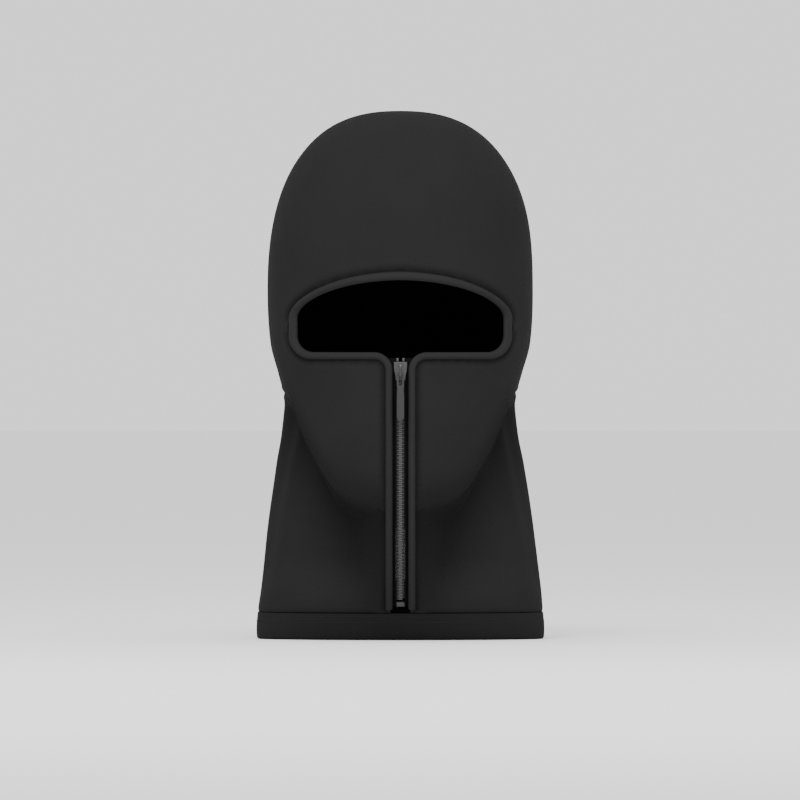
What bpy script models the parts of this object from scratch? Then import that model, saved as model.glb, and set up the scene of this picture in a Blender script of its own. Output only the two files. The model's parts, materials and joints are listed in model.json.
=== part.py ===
"""A zipped balaclava: stretch cloth panels over a lining, with a bound eye opening and a front zip.

Metres, +Z up. The wearer faces -Y, so the wearer's left is +X. The hem stands on z = 0.
"""

import math

import bmesh
import bpy
from mathutils import Vector

for old in list(bpy.data.objects):
    bpy.data.objects.remove(old)

MM = 0.001

# Overall form, in millimetres
CREST = 232.0  # height where the dome of the crown starts
DOME = 118.0  # height of the dome above the crest
DOME_POWER = 2.45  # roundness of the dome's profile
SECTION_POWER = 2.2  # roundness of the head's sections
HEAD_HALF = 87.8  # half the width of the head at the crest
BROW_DEPTH = 94.5  # forehead ahead of the ears' plane
OCCIPUT_DEPTH = 100.0  # back of the head behind the ears' plane
HEM_HALF = 95.0  # half the width of the hem
HEM_HEIGHT = 18.0  # height of the folded hem band

# The half width of the face, and of the neck, at each height
FACE_WIDTHS = ((86, 68.0), (120, 74.0), (160, 76.8), (176, 80.6), (196, 85.8), (CREST, HEAD_HALF))
NECK_WIDTHS = ((0, HEM_HALF), (60, 90.0), (116, 82.0), (136, 78.4), (160, 76.8), (176, 80.6))
# How far the back of the head and the nape are behind the ears' plane
BACK_DEPTHS = ((0, 77.0), (60, 72.0), (120, 74.0), (165, 86.0), (200, 96.5), (CREST, OCCIPUT_DEPTH))
# The jaw seam: its height at each angle round from the front
JAW_HEIGHTS = ((0, 86), (20, 90), (32, 101), (42, 122), (52, 141), (64, 157), (90, 163), (180, 150))
UNDER_JAW = 15.0  # height over which the cloth rolls in under the jaw
RECESS = 15.0  # how much the throat is set back on each side of the zip
RECESS_START = 14.0  # distance from the zip where that starts
RECESS_RAMP = 26.0
RECESS_FADE = (18.0, 55.0)  # it fades out between these heights

# Layers, each as far inside the outer surface as it starts and ends
SEAM_GAP = 0.3
SHELL_THICK = 1.8
LINING_THICK = 1.0
LAYER_GAP = 0.3
SHELL = (0.0, SHELL_THICK)
LINING = (SHELL_THICK + LAYER_GAP, SHELL_THICK + LAYER_GAP + LINING_THICK)
HEM_PROUD = 0.3

# The bound opening for the eyes
EYE_HALF = 69.3  # half its width
EYE_BOTTOM = 189.6
EYE_SIDE_TOP = 212.0  # where the brow curve starts
EYE_ARCH = 24.5  # height of the brow curve
BROW_POWER = 1.9
EYE_CORNER = 11.0  # radius of its lower outer corners
BINDING_WIDTH = 4.8
BINDING_PROUD = 0.6
BINDING_ROLL = 0.18  # share of its width that rounds over at each edge
BINDING_SIDE = 0.25  # share of the cloth's depth where its edges are widest
FRONT_CORNER = 12.0  # radius where the binding turns down beside the zip
ZIP_STEPS = 12  # steps of the edge beside the zip
CORNER_STEPS = 5  # round each corner
LEVEL_STEPS = 4  # along the lower edge of the eye opening
BROW_STEPS = 10  # over each half of the brow
CUT_AHEAD = 5.0  # how far the opening's cutter starts ahead of the cloth
CUT_DEEP = 8.0  # how far it reaches behind the outer surface
CUT_BELOW = 8.0  # how far the zip's slot runs down behind the hem band
CUT_POINT = 12.0  # height of the cutter's two points above the opening's lower edge
CUT_FAR = 250.0  # its point ahead of the face
CUT_CORE = 25.0  # its point inside the hood

# The zip
ZIP_RADIUS = 260.0  # the front's profile, seen from the side
ZIP_MIDDLE = 165.0  # height where the front comes furthest forward
ZIP_FRONT = 98.0  # how far forward that is
ZIP_TOP = 186.0
ZIP_END = 20.5
ZIP_SLOT = 5.2  # half the distance between the bindings
TAPE_GAP = 0.7  # between the lining and the tape behind it
TAPE_INSET = LINING[1] + TAPE_GAP
TAPE_THICK = 0.6
TAPE_WIDTH = 9.0
TAPE_ROWS = 14
TOOTH_PITCH = 2.54
TOOTH_LONG = 0.95  # along the zip
TOOTH_TALL = 2.4
TOOTH_HALF = 2.8  # half the width of the closed chain
TOOTH_OVERLAP = 1.1  # how far a tooth reaches past the middle
SPINE = 0.8  # width of the strip that joins a row of teeth
ZIP_CLEARANCE = 0.3
STOP_LONG = 2.5
FOOT_LONG = 3.6

# The slider and its pull
SLIDER_LONG = 12.0
SLIDER_HALF = 4.35
PLATE_THICK = 1.2
WEDGE_HALF = 1.1
WEDGE_LONG = 4.0
WEDGE_START = 0.4  # from the slider's upper end
CROWN_HALF = 0.8
CROWN_START = 1.5  # from the slider's upper end
CROWN_LONG = 8.6
CROWN_LEG = 1.2
CROWN_TALL = 3.2  # room under the crown's bar
CROWN_BAR = 1.0
PULL_LONG = 31.0
PULL_HALF = 2.4
PULL_THICK = 1.1
PULL_BAR = 0.6  # half the length of the bar that the pull turns on
PULL_ROOM = 1.05  # from the bar's middle to the crown that it turns under
PULL_REST = 0.5  # from the bar to the crown's lower leg
PULL_EYE = 8.0  # length of the window that passes the crown
PULL_END_RADIUS = 1.4

LABEL_HALF = 13.0
LABEL_LOW = 38.0
LABEL_TALL = 34.0
LABEL_THICK = 0.5

TOP = CREST + DOME
QUARTER_FRONT = (0, 6, 12, 20, 29, 38, 47, 56, 65, 74, 82, 90)
QUARTER_BACK = (100, 110, 120, 130, 140, 150, 160, 170, 180)
FACE_STEPS = (0.13, 0.28, 0.45, 0.63, 0.81, 1.0)
DOME_ANGLES = (15, 29, 43, 56, 69, 80, 90)
ROLL_STEPS = 3
THROAT_STEPS = 4


def smooth(low, high, value):
    t = min(1.0, max(0.0, (value - low) / (high - low)))
    return t * t * (3 - 2 * t)


def through(keys, place):
    """A smooth curve through the keys, level at its two ends."""
    last = len(keys) - 1
    if place <= keys[0][0]:
        return float(keys[0][1])
    if place >= keys[last][0]:
        return float(keys[last][1])
    i = max(k for k in range(last) if keys[k][0] <= place)
    (x0, y0), (x1, y1) = keys[i], keys[i + 1]
    before = (y1 - keys[i - 1][1]) / (x1 - keys[i - 1][0]) if i > 0 else 0.0
    after = (keys[i + 2][1] - y0) / (keys[i + 2][0] - x0) if i + 2 <= last else 0.0
    t = (place - x0) / (x1 - x0)
    wide = x1 - x0
    start = (2 * t**3 - 3 * t**2 + 1) * y0 + (t**3 - 2 * t**2 + t) * wide * before
    return start + (3 * t**2 - 2 * t**3) * y1 + (t**3 - t**2) * wide * after


def jaw(angle):
    return through(JAW_HEIGHTS, abs(math.degrees(angle)))


def front_depth(z):
    """How far forward the middle of the front is: the zip's arc, easing into the brow."""
    low = EYE_BOTTOM
    if z >= CREST:
        return BROW_DEPTH
    bend = math.asin((min(z, low) - ZIP_MIDDLE) / ZIP_RADIUS)
    depth = ZIP_FRONT - ZIP_RADIUS * (1 - math.cos(bend))
    if z <= low:
        return depth
    t = (z - low) / (CREST - low)
    ease = (t**3 - 2 * t**2 + t) * (CREST - low) * -math.tan(bend)
    return (2 * t**3 - 3 * t**2 + 1) * depth + ease + (3 * t**2 - 2 * t**3) * BROW_DEPTH


def dome_share(z):
    if z <= CREST:
        return 1.0
    return max(0.0, 1 - ((z - CREST) / DOME) ** DOME_POWER) ** (1 / DOME_POWER)


def oval(angle, half, depth, power):
    """The distance out from the axis to an oval section, at an angle round from the front."""
    across = abs(math.sin(angle)) / half
    along = abs(math.cos(angle)) / depth
    return (across**power + along**power) ** (-1 / power)


def reach(angle, z):
    """The distance from the upright axis to the outer surface."""
    share = dome_share(z)
    behind = math.cos(angle) < 0
    depth = through(BACK_DEPTHS, z) if behind else front_depth(z)
    head = oval(angle, through(FACE_WIDTHS, z), depth, SECTION_POWER) * share
    rise = jaw(angle)
    if z >= rise:
        return head
    throat = oval(angle, through(NECK_WIDTHS, z), depth, SECTION_POWER)
    beside = smooth(RECESS_START, RECESS_START + RECESS_RAMP, abs(throat * math.sin(angle)))
    beside *= 1 - smooth(50, 92, abs(math.degrees(angle)))
    throat -= RECESS * beside * smooth(*RECESS_FADE, z)
    roll = smooth(rise - UNDER_JAW, rise, z)
    return throat + (head - throat) * roll


def surface(angle, z):
    out = reach(angle, z)
    return Vector((out * math.sin(angle), -out * math.cos(angle), z))


def outward(angle, z):
    if z > TOP - 0.01:
        return Vector((0, 0, 1))
    step = min(0.4, 0.2 * (TOP - z))
    up = surface(angle, z + step) - surface(angle, z - step)
    round_it = surface(angle + 0.01, z) - surface(angle - 0.01, z)
    return round_it.cross(up).normalized()


def skin(angle, z, inset, level=False):
    """A point that far inside the surface; level keeps it at its height.

    Both edges of the jaw seam take the seam's own slope, so that they stay apart at every depth.
    """
    seam = jaw(angle)
    out = outward(angle, seam if abs(z - seam) <= SEAM_GAP else z)
    if level:
        out.z = 0
        out.normalize()
    return surface(angle, z) - out * inset


def angle_at(x, z):
    """The angle round from the front where the surface is x to the side."""
    angle = 0.0
    for _ in range(12):
        angle = math.asin(max(-1.0, min(1.0, x / reach(angle, z))))
    return angle


def front(x, z, inset):
    return skin(angle_at(x, z), z, inset)


def zip_angle(along):
    """The slope of the front at a distance down the zip from its top."""
    return math.asin((ZIP_TOP - ZIP_MIDDLE) / ZIP_RADIUS) - along / ZIP_RADIUS


def on_zip(x, along, inset, at=None):
    """A point of the zip. A straight piece gives the one place whose slope it keeps, in at."""
    bend = zip_angle(along if at is None else at)
    out = Vector((0, -math.cos(bend), math.sin(bend)))
    down = Vector((0, -math.sin(bend), -math.cos(bend)))
    centre = Vector((0, ZIP_RADIUS - ZIP_FRONT, ZIP_MIDDLE))
    slip = 0 if at is None else along - at
    return centre + out * (ZIP_RADIUS - inset) + down * slip + Vector((x, 0, 0))


ZIP_LONG = ZIP_RADIUS * (zip_angle(0) - math.asin((ZIP_END - ZIP_MIDDLE) / ZIP_RADIUS))
TEETH = (TAPE_INSET + TAPE_THICK / 2 - TOOTH_TALL / 2, TAPE_INSET + TAPE_THICK / 2 + TOOTH_TALL / 2)
SLIDER_TOP = STOP_LONG + ZIP_CLEARANCE
SLIDER_MIDDLE = SLIDER_TOP + SLIDER_LONG / 2
PLATE_OUT = TEETH[0] - ZIP_CLEARANCE - PLATE_THICK  # the slider's outer face
PULL_AXIS = (
    SLIDER_TOP + CROWN_START + CROWN_LONG - CROWN_LEG - PULL_BAR - PULL_REST,
    PLATE_OUT - ZIP_CLEARANCE - CROWN_TALL + PULL_ROOM,
)


def material(name, colour, roughness, metallic=0.0):
    made = bpy.data.materials.new(name)
    made.use_nodes = True
    shader = made.node_tree.nodes["Principled BSDF"]
    shader.inputs["Base Color"].default_value = (*colour, 1)
    shader.inputs["Roughness"].default_value = roughness
    shader.inputs["Metallic"].default_value = metallic
    return made


def add(name, bm, colour, roughness, metallic=0.0):
    """A named object of a mesh in millimetres, with a material of its own."""
    bmesh.ops.recalc_face_normals(bm, faces=bm.faces)
    mesh = bpy.data.meshes.new(name)
    bm.to_mesh(mesh)
    bm.free()
    thing = bpy.data.objects.new(name, mesh)
    bpy.context.scene.collection.objects.link(thing)
    mesh.materials.append(material(name, colour, roughness, metallic))
    return thing


def close_sheet(rows_out, rows_in, pole=False, loop=False, turned=False):
    """A closed solid between two grids of points; the last row is one point with a pole.

    turned says that the columns run to the wearer's right, and splits the cells to match the rest.
    """
    bm = bmesh.new()

    def lay(rows):
        made = [[bm.verts.new(p) for p in row] for row in rows[: -1 if pole else None]]
        if pole:
            made.append([bm.verts.new(rows[-1][0])] * len(rows[0]))
        return made

    def patch(a, b, c, d):
        """Two triangles, split the same way in every layer, so that the layers stay apart."""
        for corners in ((b, c, d), (b, d, a)) if turned else ((a, b, c), (a, c, d)):
            if len(set(corners)) == 3:
                bm.faces.new(corners)

    outer = lay(rows_out)
    inner = lay(rows_in)
    tall = len(outer)
    wide = len(outer[0])
    for grid in (outer, inner):
        for r in range(tall - 1):
            for c in range(wide if loop else wide - 1):
                n = (c + 1) % wide
                patch(grid[r][c], grid[r][n], grid[r + 1][n], grid[r + 1][c])
    ends = [0] if pole else [0, tall - 1]
    for r in ends:
        for c in range(wide if loop else wide - 1):
            n = (c + 1) % wide
            patch(outer[r][c], outer[r][n], inner[r][n], inner[r][c])
    if not loop:
        for c in (0, wide - 1):
            for r in range(tall - 1):
                patch(outer[r][c], outer[r + 1][c], inner[r + 1][c], inner[r][c])
    return bm


def head_rows(angle):
    """Heights from the jaw seam to the top, at one angle."""
    low = jaw(angle) + SEAM_GAP / 2
    face = [low] + [low + (CREST - low) * step for step in FACE_STEPS]
    dome = [CREST + DOME * math.sin(math.radians(t)) ** (2 / DOME_POWER) for t in DOME_ANGLES]
    dome[-1] = TOP
    return face + dome


def throat_rows(angle):
    """Heights from the hem band to the jaw seam, at one angle."""
    high = jaw(angle) - SEAM_GAP / 2
    low = HEM_HEIGHT + SEAM_GAP
    under = high - UNDER_JAW
    lower = [low + (under - low) * step / THROAT_STEPS for step in range(THROAT_STEPS)]
    return lower + [under + UNDER_JAW * step / ROLL_STEPS for step in range(ROLL_STEPS + 1)]


def radians(degrees):
    return [math.radians(d) for d in degrees]


def hood_sheet(angles, layer, first, last, pole):
    """A panel above the jaw seam. first, last and pole move its edges off the seams."""
    heights = [head_rows(a) for a in angles]
    sides = []
    for inset in layer:
        rows = []
        for r in range(len(heights[0])):
            row = [skin(a, heights[c][r], inset) for c, a in enumerate(angles)]
            row[0] += Vector(first)
            row[-1] += Vector(last)
            rows.append(row)
        rows[-1] = [Vector((0, 0, TOP - inset)) + Vector(pole)] * len(angles)
        sides.append(rows)
    return close_sheet(*sides, pole=True, turned=angles[1] < angles[0])


def neck_sheet(angles, layer, first=(0, 0, 0), last=(0, 0, 0), zip_side=None):
    """A panel between the hem band and the jaw seam; zip_side is the column beside the zip."""
    slot = ZIP_SLOT + BINDING_WIDTH + SEAM_GAP
    sides = []
    for inset in layer:
        rows = []
        for r in range(THROAT_STEPS + ROLL_STEPS + 1):
            row = []
            for c, angle in enumerate(angles):
                z = throat_rows(angle)[r]
                if zip_side is not None and c in zip_side:
                    side = math.copysign(slot, angle)
                    row.append(skin(angle_at(side, z), z, inset, level=r == 0))
                else:
                    row.append(skin(angle, z, inset, level=r == 0))
            row[0] += Vector(first)
            row[-1] += Vector(last)
            rows.append(row)
        sides.append(rows)
    return close_sheet(*sides, turned=angles[1] < angles[0])


def arc(cx, cz, radius, start, end, steps):
    turns = [math.radians(start + (end - start) * k / steps) for k in range(steps + 1)]
    return [(cx + radius * math.cos(t), cz + radius * math.sin(t)) for t in turns]


def outline(offset, low):
    """The left half of the bound edge, from the zip's foot to the brow, moved that far into the cloth."""
    beside = ZIP_SLOT + offset
    corner = FRONT_CORNER - offset
    middle = (ZIP_SLOT + FRONT_CORNER, EYE_BOTTOM - FRONT_CORNER)
    rise = middle[1] - low
    path = [(beside, low + rise * k / ZIP_STEPS) for k in range(ZIP_STEPS)]
    path += arc(*middle, corner, 180, 90, CORNER_STEPS)
    flat = EYE_HALF - EYE_CORNER - middle[0]
    for k in range(1, LEVEL_STEPS):
        path.append((middle[0] + flat * k / LEVEL_STEPS, EYE_BOTTOM - offset))
    outer = (EYE_HALF - EYE_CORNER, EYE_BOTTOM + EYE_CORNER)
    path += arc(*outer, EYE_CORNER + offset, -90, 0, CORNER_STEPS)
    for k in range(BROW_STEPS + 1):
        turn = math.radians(90 * k / BROW_STEPS)
        x = (EYE_HALF + offset) * max(0.0, math.cos(turn)) ** (2 / BROW_POWER)
        z = EYE_SIDE_TOP + (EYE_ARCH + offset) * math.sin(turn) ** (2 / BROW_POWER)
        path.append((x, z))
    path[-1] = (0.0, EYE_SIDE_TOP + EYE_ARCH + offset)
    return path


def whole_outline(offset, low):
    """The outline from the zip's foot on the left, round the brow, to its foot on the right."""
    left = outline(offset, low)
    return left + [(-x, z) for x, z in reversed(left[:-1])]


def cut_opening(thing):
    """Cuts the eye opening and the zip's slot, square to the cloth."""
    path = whole_outline(BINDING_WIDTH + SEAM_GAP, HEM_HEIGHT - CUT_BELOW)
    bm = bmesh.new()
    outer = [bm.verts.new(front(x, z, -CUT_AHEAD)) for x, z in path]
    inner = [bm.verts.new(front(x, z, CUT_DEEP)) for x, z in path]
    ahead = bm.verts.new((0, -CUT_FAR, EYE_BOTTOM + CUT_POINT))
    inside = bm.verts.new((0, -CUT_CORE, EYE_BOTTOM + CUT_POINT))
    for c in range(len(path)):
        n = (c + 1) % len(path)
        bm.faces.new((outer[c], outer[n], inner[n], inner[c]))
        bm.faces.new((outer[n], outer[c], ahead))
        bm.faces.new((inner[c], inner[n], inside))
    combine(thing, add(thing.name + "_opening", bm, (1, 0, 0), 0.5), "DIFFERENCE")


def combine(thing, tool, operation):
    """Applies a Boolean and removes the tool."""
    cut = thing.modifiers.new(operation.lower(), "BOOLEAN")
    cut.operation = operation
    cut.object = tool
    shape = thing.evaluated_get(bpy.context.evaluated_depsgraph_get())
    mesh = bpy.data.meshes.new_from_object(shape)
    thing.modifiers.clear()
    thing.data = mesh
    mesh.name = thing.name
    bpy.data.objects.remove(tool)


def block(corners_at, extent, section):
    """A straight prism: a section of two coordinates, pushed between the two ends of extent."""
    bm = bmesh.new()
    ends = [[bm.verts.new(corners_at(p, e)) for p in section] for e in extent]
    bm.faces.new(ends[0])
    bm.faces.new(ends[1])
    for c in range(len(section)):
        n = (c + 1) % len(section)
        bm.faces.new((ends[0][c], ends[0][n], ends[1][n], ends[1][c]))
    return bm


CLOTH = (0.022, 0.022, 0.024)
DARK_CLOTH = (0.012, 0.012, 0.013)
METAL = (0.28, 0.28, 0.29)


def make_hood():
    half = SEAM_GAP / 2
    right = radians([-a for a in reversed(QUARTER_FRONT)][:-1])
    front_angles = right + radians(QUARTER_FRONT)
    bm = hood_sheet(front_angles, SHELL, (0, -half, 0), (0, -half, 0), (0, -half, 0))
    cut_opening(add("face_panel", bm, CLOTH, 0.9))
    back_angles = radians((90,) + QUARTER_BACK)
    for side, word in ((1, "left"), (-1, "right")):
        turned = [side * a for a in back_angles]
        pole = (side * half, half, 0)
        bm = hood_sheet(turned, SHELL, (0, half, 0), (side * half, 0, 0), pole)
        add(word + "_back_panel", bm, CLOTH, 0.9)
        lining = [side * a for a in radians(QUARTER_FRONT + QUARTER_BACK)]
        shift = (side * half, 0, 0)
        bm = hood_sheet(lining, LINING, shift, shift, shift)
        cut_opening(add(word + "_hood_lining", bm, DARK_CLOTH, 0.95))


def make_neck():
    half = SEAM_GAP / 2
    columns = radians(QUARTER_FRONT[1:])
    for side, word in ((1, "left"), (-1, "right")):
        turned = [side * a for a in columns]
        bm = neck_sheet(turned, SHELL, last=(0, -half, 0), zip_side=(0,))
        add(word + "_neck_panel", bm, CLOTH, 0.9)
    round_back = list(QUARTER_BACK) + [360 - a for a in reversed(QUARTER_BACK[:-1])]
    back = [a if a <= math.pi else a - 2 * math.pi for a in radians([90] + round_back + [270])]
    bm = neck_sheet(back, SHELL, first=(0, half, 0), last=(0, half, 0))
    add("back_neck_panel", bm, CLOTH, 0.9)
    lining = columns + back[1:-1] + [-a for a in reversed(columns)]
    ends = (0, len(lining) - 1)
    add("neck_lining", neck_sheet(lining, LINING, zip_side=ends), DARK_CLOTH, 0.95)


def make_hem():
    """The folded band, level and flat below."""
    whole = list(QUARTER_FRONT) + list(QUARTER_BACK)
    angles = radians(whole + [-a for a in reversed(whole[1:-1])])
    sides = []
    for inset in (-HEM_PROUD, LINING[1] + HEM_PROUD):
        sides.append([[skin(a, z, inset, level=True) for a in angles] for z in (0.0, HEM_HEIGHT)])
    add("hem_band", close_sheet(*sides, loop=True), CLOTH, 0.9)


def make_binding():
    """One rolled strip: up one side of the zip, round the opening and down the other side."""
    crown = -BINDING_PROUD
    deep = LINING[1]
    edge = BINDING_ROLL * BINDING_WIDTH
    side = BINDING_SIDE * deep
    section = (
        (0.0, side),
        (edge, crown),
        (BINDING_WIDTH - edge, crown),
        (BINDING_WIDTH, side),
        (BINDING_WIDTH - edge / 2, deep),
        (edge / 2, deep),
    )
    paths = [whole_outline(offset, ZIP_END) for offset, _ in section]
    bm = bmesh.new()
    rings = []
    for c in range(len(paths[0])):
        ring = []
        for (_, inset), path in zip(section, paths):
            ring.append(bm.verts.new(front(*path[c], inset)))
        rings.append(ring)
    for a, b in zip(rings, rings[1:]):
        for k in range(len(section)):
            n = (k + 1) % len(section)
            bm.faces.new((a[k], a[n], b[n], b[k]))
    bm.faces.new(rings[0])
    bm.faces.new(rings[-1])
    add("face_binding", bm, CLOTH, 0.85)


def make_tapes():
    start = TOOTH_HALF + ZIP_CLEARANCE
    for side, word in ((1, "left"), (-1, "right")):
        sides = []
        for inset in (TAPE_INSET, TAPE_INSET + TAPE_THICK):
            rows = []
            for r in range(TAPE_ROWS + 1):
                z = ZIP_TOP + (ZIP_END - ZIP_TOP) * r / TAPE_ROWS
                rows.append([front(side * (start + TAPE_WIDTH * c / 2), z, inset) for c in range(3)])
            sides.append(rows)
        add(word + "_zip_tape", close_sheet(*sides), DARK_CLOTH, 0.8)


def zip_block(bm, x_range, along_range, inset_range):
    """A small straight block on the zip."""
    at = sum(along_range) / 2
    section = [(x_range[i], inset_range[j]) for i, j in ((0, 0), (1, 0), (1, 1), (0, 1))]
    ends = [[bm.verts.new(on_zip(x, s, inset, at)) for x, inset in section] for s in along_range]
    bm.faces.new(ends[0])
    bm.faces.new(ends[1])
    for c in range(4):
        n = (c + 1) % 4
        bm.faces.new((ends[0][c], ends[0][n], ends[1][n], ends[1][c]))


def make_comb(side, starts):
    """One row of teeth, moulded in one piece with the spine that the tape holds."""
    bm = bmesh.new()

    def pair(x, along):
        return [bm.verts.new(on_zip(side * x, along, inset)) for inset in TEETH]

    stops = [place for start in starts for place in (start, start + TOOTH_LONG)]
    rim = [pair(TOOTH_HALF, s) for s in stops]
    root = [pair(TOOTH_HALF - SPINE, s) for s in stops]
    tips = [pair(-TOOTH_OVERLAP, s) for s in stops]
    for k in range(len(stops) - 1):
        n = k + 1
        bm.faces.new((rim[k][0], rim[n][0], root[n][0], root[k][0]))
        bm.faces.new((rim[k][1], rim[n][1], root[n][1], root[k][1]))
        bm.faces.new((rim[k][0], rim[n][0], rim[n][1], rim[k][1]))
        if k % 2:
            bm.faces.new((root[k][0], root[n][0], root[n][1], root[k][1]))
            continue
        bm.faces.new((root[k][0], root[n][0], tips[n][0], tips[k][0]))
        bm.faces.new((root[k][1], root[n][1], tips[n][1], tips[k][1]))
        bm.faces.new((tips[k][0], tips[n][0], tips[n][1], tips[k][1]))
        for at in (k, n):
            bm.faces.new((root[at][0], tips[at][0], tips[at][1], root[at][1]))
    for at in (0, len(stops) - 1):
        bm.faces.new((rim[at][0], root[at][0], root[at][1], rim[at][1]))
    return bm


def make_teeth():
    """Two rows of teeth that pass between each other, with the stops at the chain's ends."""
    first = SLIDER_MIDDLE
    last = ZIP_LONG - FOOT_LONG - ZIP_CLEARANCE
    count = int((last - first) / TOOTH_PITCH)
    for side, word in ((1, "left"), (-1, "right")):
        half_step = 0.5 if side < 0 else 0.0
        starts = [first + TOOTH_PITCH * (k + half_step) for k in range(count)]
        add(word + "_zip_teeth", make_comb(side, starts), METAL, 0.45, 0.6)
        bm = bmesh.new()
        zip_block(bm, sorted((side * TOOTH_OVERLAP, side * TOOTH_HALF)), (0, STOP_LONG), TEETH)
        add(word + "_top_stop", bm, METAL, 0.4, 0.8)
    bm = bmesh.new()
    zip_block(bm, (-TOOTH_HALF, TOOTH_HALF), (ZIP_LONG - FOOT_LONG, ZIP_LONG), TEETH)
    add("bottom_stop", bm, METAL, 0.4, 0.8)


def channel(outer_face, depth, sign):
    """The section of one of the slider's plates with its two flanges."""
    wall = SLIDER_HALF - TOOTH_HALF - 2 * ZIP_CLEARANCE
    rim = outer_face + sign * depth
    floor = outer_face + sign * PLATE_THICK
    inner = SLIDER_HALF - wall
    return (
        (-SLIDER_HALF, outer_face),
        (SLIDER_HALF, outer_face),
        (SLIDER_HALF, rim),
        (inner, rim),
        (inner, floor),
        (-inner, floor),
        (-inner, rim),
        (-SLIDER_HALF, rim),
    )


def make_slider():
    """Two plates with flanges that pass the tapes, joined by the wedge that parts the teeth."""
    back = TEETH[1] + ZIP_CLEARANCE + PLATE_THICK
    extent = (SLIDER_TOP, SLIDER_TOP + SLIDER_LONG)

    def place(point, along):
        return on_zip(point[0], along, point[1], SLIDER_MIDDLE)

    upper = TAPE_INSET - ZIP_CLEARANCE - PLATE_OUT
    lower = back - (TAPE_INSET + TAPE_THICK + ZIP_CLEARANCE)
    bm = block(place, extent, channel(PLATE_OUT, upper, 1))
    slider = add("slider_body", bm, METAL, 0.3, 1.0)
    under = block(place, extent, channel(back, lower, -1))
    wide = WEDGE_HALF
    section = (
        (-wide, PLATE_OUT + PLATE_THICK / 2),
        (wide, PLATE_OUT + PLATE_THICK / 2),
        (wide, back - PLATE_THICK / 2),
        (-wide, back - PLATE_THICK / 2),
    )
    wedge = block(place, (SLIDER_TOP + WEDGE_START, SLIDER_TOP + WEDGE_LONG), section)
    combine(slider, add("wedge", wedge, METAL, 0.3), "UNION")
    combine(slider, add("under_plate", under, METAL, 0.3), "UNION")


def make_crown():
    """The arch on the slider that holds the pull."""
    foot = PLATE_OUT - ZIP_CLEARANCE
    start = SLIDER_TOP + CROWN_START
    end = start + CROWN_LONG
    section = (
        (start, foot),
        (start, foot - CROWN_TALL - CROWN_BAR),
        (end, foot - CROWN_TALL - CROWN_BAR),
        (end, foot),
        (end - CROWN_LEG, foot),
        (end - CROWN_LEG, foot - CROWN_TALL),
        (start + CROWN_LEG, foot - CROWN_TALL),
        (start + CROWN_LEG, foot),
    )

    def place(point, x):
        return on_zip(x, point[0], point[1], SLIDER_MIDDLE)

    bm = block(place, (-CROWN_HALF, CROWN_HALF), section)
    add("slider_crown", bm, METAL, 0.3, 1.0)


def make_pull():
    """A slim flat pull, with a window at its upper end that passes over the crown."""
    axis_along, axis_inset = PULL_AXIS
    layer = (axis_inset - PULL_THICK / 2, axis_inset + PULL_THICK / 2)

    def place(point, inset):
        return on_zip(point[0], axis_along + point[1], inset, SLIDER_MIDDLE)

    end = PULL_LONG - PULL_END_RADIUS
    side = PULL_HALF - PULL_END_RADIUS
    section = [(-PULL_HALF, -PULL_BAR), (PULL_HALF, -PULL_BAR)]
    section += arc(side, end, PULL_END_RADIUS, 0, 90, 4)
    section += arc(-side, end, PULL_END_RADIUS, 90, 180, 4)
    pull = add("pull_tab", block(place, layer, section), METAL, 0.35, 0.9)
    clear = CROWN_HALF + ZIP_CLEARANCE
    window = ((-clear, PULL_BAR), (clear, PULL_BAR), (clear, PULL_EYE), (-clear, PULL_EYE))
    hole = block(place, (layer[0] - 1, layer[1] + 1), window)
    combine(pull, add("window", hole, METAL, 0.3), "DIFFERENCE")


def make_label():
    """A blank label sewn inside the nape."""
    start = LINING[1] + LAYER_GAP + SEAM_GAP
    sides = []
    for inset in (start, start + LABEL_THICK):
        rows = []
        for r in range(4):
            z = LABEL_LOW + LABEL_TALL * r / 3
            wide = LABEL_HALF / reach(math.pi, z)
            rows.append([skin(math.pi + wide * c / 2, z, inset) for c in range(-2, 3)])
        sides.append(rows)
    add("care_label", close_sheet(*sides), (0.6, 0.6, 0.58), 0.7)


def place_all():
    """Turns millimetres to metres, centres the object from front to back, and sets the origins."""
    things = list(bpy.context.scene.objects)
    depths = [v.co.y for thing in things for v in thing.data.vertices]
    shift = -(min(depths) + max(depths)) / 2
    pivots = {name: on_zip(0, *PULL_AXIS, SLIDER_MIDDLE) for name in ("pull_tab",)}
    centre = Vector((0, ZIP_RADIUS - ZIP_FRONT, ZIP_MIDDLE))
    pivots.update({name: centre for name in ("slider_body", "slider_crown")})
    for thing in things:
        pivot = pivots.get(thing.name, Vector((0, -shift, 0)))
        for vertex in thing.data.vertices:
            vertex.co = (vertex.co - pivot) * MM
        thing.location = (pivot + Vector((0, shift, 0))) * MM


make_hood()
make_neck()
make_hem()
make_binding()
make_tapes()
make_teeth()
make_slider()
make_crown()
make_pull()
make_label()
place_all()
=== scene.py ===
"""The looks of the zipped balaclava: stretch cloth, bound edges, a coil zip and its slider."""

import json
import math

import bmesh
import bpy
import numpy as np
from mathutils import Matrix, Vector
from mathutils.kdtree import KDTree


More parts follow.
